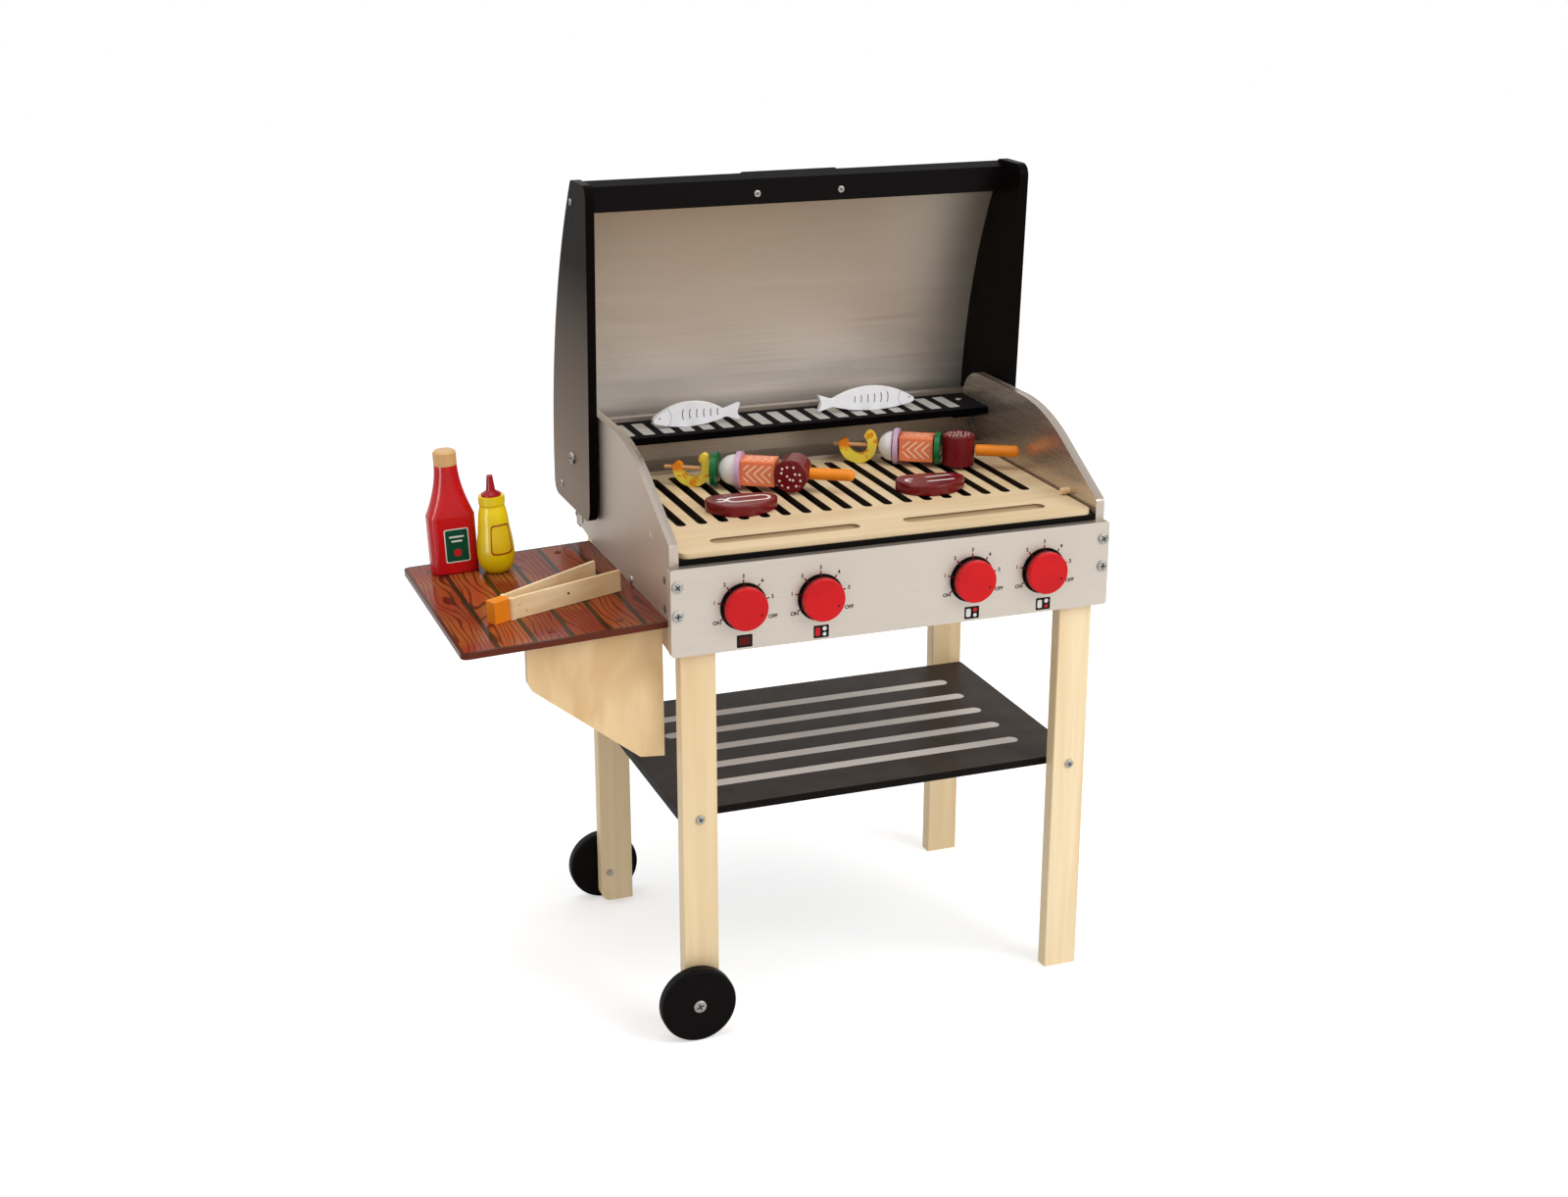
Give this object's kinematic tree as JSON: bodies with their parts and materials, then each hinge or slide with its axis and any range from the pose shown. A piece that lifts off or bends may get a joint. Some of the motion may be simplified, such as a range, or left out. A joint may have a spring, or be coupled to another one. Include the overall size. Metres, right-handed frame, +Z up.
{
  "type": "toy barbecue grill",
  "caption": "Wooden play barbecue on four legs and wheels, with a hinged lid, turning knobs, warming rack, lower shelf, side table, skewers, fish, steaks, bottles and tongs.",
  "frame": {"origin": "on the floor, centre of the toy's plan outline with the lid open", "axes": "+Z up, -Y towards the knobs, +X to the right of someone facing the knobs"},
  "size_m": [0.6544, 0.3868, 0.8003],
  "materials": {
    "silver_board": "satin metallic paint on board",
    "black_board": "satin black paint on board",
    "bronze_sheet": "brushed bronze-grey print",
    "birch": "clear satin varnish",
    "dark_board": "satin paint with light stripes",
    "brown_board": "printed planks, satin",
    "steel": "plain bolt heads",
    "knob_red": "gloss paint",
    "collar_black": "satin paint",
    "wheel_black": "satin paint",
    "fish_white": "gloss paint with grey marks",
    "steak_red": "gloss paint",
    "stick_wood": "bare wood",
    "orange_paint": "gloss paint",
    "shrimp_yellow": "gloss paint with orange spots",
    "garnish_paint": "paint in green, white and lilac",
    "salmon_pink": "satin paint with pale chevrons",
    "salami_red": "satin paint with pale dots",
    "ketchup_red": "gloss paint",
    "cap_wood": "bare wood",
    "mustard_yellow": "gloss paint",
    "nozzle_red": "gloss paint",
    "grate_board": "clear satin varnish"
  },
  "bodies": {
    "grill": {"front_panel": "silver_board", "side_panel_left": "silver_board", "side_panel_right": "silver_board", "rear_panel": "silver_board", "burner_tray": "black_board", "grate": "grate_board", "rear_ledge": "silver_board", "warming_rack": "black_board", "rack_cleats": "black_board", "grate_pegs": "birch", "leg_front_left": "birch", "leg_front_right": "birch", "leg_rear_left": "birch", "leg_rear_right": "birch", "lower_shelf": "dark_board", "side_table": "brown_board", "table_brackets": "birch", "frame_bolts": "steel", "barrel_nuts": "steel", "wood_screws": "steel", "knob_collars": "collar_black", "wheel_bolts": "steel", "spacers": "black_board", "pivot_bolts": "steel"},
    "lid": {"lid_side_left": "black_board", "lid_side_right": "black_board", "lid_skin": "bronze_sheet", "lid_front_rail": "black_board", "lid_handle": "black_board", "lid_rear_rail": "black_board", "lid_screws": "steel"},
    "knob_outer_left_turn": {"knob_outer_left": "knob_red"},
    "knob_inner_left_turn": {"knob_inner_left": "knob_red"},
    "knob_inner_right_turn": {"knob_inner_right": "knob_red"},
    "knob_outer_right_turn": {"knob_outer_right": "knob_red"},
    "wheel_front_turn": {"wheel_front": "wheel_black"},
    "wheel_rear_turn": {"wheel_rear": "wheel_black"},
    "fish_left_piece": {"fish_left": "fish_white"},
    "fish_right_piece": {"fish_right": "fish_white"},
    "steak_left_piece": {"steak_left": "steak_red"},
    "steak_right_piece": {"steak_right": "steak_red"},
    "skewer_left": {"stick_left": "stick_wood", "handle_left": "orange_paint", "shrimp_left": "shrimp_yellow", "garnish_left": "garnish_paint", "salmon_left": "salmon_pink", "salami_left": "salami_red"},
    "skewer_right": {"stick_right": "stick_wood", "handle_right": "orange_paint", "shrimp_right": "shrimp_yellow", "garnish_right": "garnish_paint", "salmon_right": "salmon_pink", "salami_right": "salami_red"},
    "ketchup": {"ketchup_bottle": "ketchup_red", "ketchup_cap": "cap_wood"},
    "mustard": {"mustard_bottle": "mustard_yellow", "mustard_nozzle": "nozzle_red"},
    "tongs": {"tongs_block": "orange_paint"},
    "tongs_arm_front_turn": {"tongs_arm_front": "birch"},
    "tongs_arm_rear_turn": {"tongs_arm_rear": "birch"}
  },
  "joints": [
    {"name": "lid_hinge", "type": "hinge", "parent": "grill", "child": "lid", "pos_m": [0.08966, 0.11365, 0.5158], "axis": [-1, 0, 0], "range_deg": [-77, 0]},
    {"name": "knob_outer_left_hinge", "type": "hinge", "parent": "grill", "child": "knob_outer_left_turn", "pos_m": [-0.06484, -0.18135, 0.4405], "axis": [0, -1, 0], "range_deg": [0, 240]},
    {"name": "knob_inner_left_hinge", "type": "hinge", "parent": "grill", "child": "knob_inner_left_turn", "pos_m": [0.01167, -0.18135, 0.4405], "axis": [0, -1, 0], "range_deg": [0, 240]},
    {"name": "knob_inner_right_hinge", "type": "hinge", "parent": "grill", "child": "knob_inner_right_turn", "pos_m": [0.16767, -0.18135, 0.4405], "axis": [0, -1, 0], "range_deg": [0, 240]},
    {"name": "knob_outer_right_hinge", "type": "hinge", "parent": "grill", "child": "knob_outer_right_turn", "pos_m": [0.24416, -0.18135, 0.4405], "axis": [0, -1, 0], "range_deg": [0, 240]},
    {"name": "wheel_front_spin", "type": "hinge", "parent": "grill", "child": "wheel_front_turn", "pos_m": [-0.11533, -0.18235, 0.038], "axis": [0, 1, 0], "continuous": true},
    {"name": "wheel_rear_spin", "type": "hinge", "parent": "grill", "child": "wheel_rear_turn", "pos_m": [-0.11533, 0.15265, 0.038], "axis": [0, 1, 0], "continuous": true},
    {"name": "fish_left_lift", "type": "slide", "parent": "grill", "child": "fish_left_piece", "axis": [0, 0, 1], "range_m": [0, 0.06]},
    {"name": "fish_right_lift", "type": "slide", "parent": "grill", "child": "fish_right_piece", "axis": [0, 0, 1], "range_m": [0, 0.06]},
    {"name": "steak_left_lift", "type": "slide", "parent": "grill", "child": "steak_left_piece", "axis": [0, 0, 1], "range_m": [0, 0.06]},
    {"name": "steak_right_lift", "type": "slide", "parent": "grill", "child": "steak_right_piece", "axis": [0, 0, 1], "range_m": [0, 0.06]},
    {"name": "skewer_left_lift", "type": "slide", "parent": "grill", "child": "skewer_left", "axis": [0, -0.9397, 0.342], "range_m": [0, 0.06]},
    {"name": "skewer_right_lift", "type": "slide", "parent": "grill", "child": "skewer_right", "axis": [0, -0.9397, 0.342], "range_m": [0, 0.06]},
    {"name": "ketchup_lift", "type": "slide", "parent": "grill", "child": "ketchup", "axis": [-0.0419, 0, 0.9991], "range_m": [0, 0.06]},
    {"name": "mustard_lift", "type": "slide", "parent": "grill", "child": "mustard", "axis": [-0.0419, 0, 0.9991], "range_m": [0, 0.06]},
    {"name": "tongs_lift", "type": "slide", "parent": "grill", "child": "tongs", "axis": [-0.0419, 0, 0.9991], "range_m": [0, 0.06]},
    {"name": "tongs_front_squeeze", "type": "hinge", "parent": "tongs", "child": "tongs_arm_front_turn", "pos_m": [-0.26247, -0.09556, 0.42409], "axis": [-0.0419, 0, 0.9991], "range_deg": [0, 5]},
    {"name": "tongs_rear_squeeze", "type": "hinge", "parent": "tongs", "child": "tongs_arm_rear_turn", "pos_m": [-0.2674, -0.08354, 0.42388], "axis": [-0.0419, 0, 0.9991], "range_deg": [-5, 0]}
  ],
  "couplings": [
    {"joint": "tongs_rear_squeeze", "follows": "tongs_front_squeeze", "ratio": -1}
  ]
}
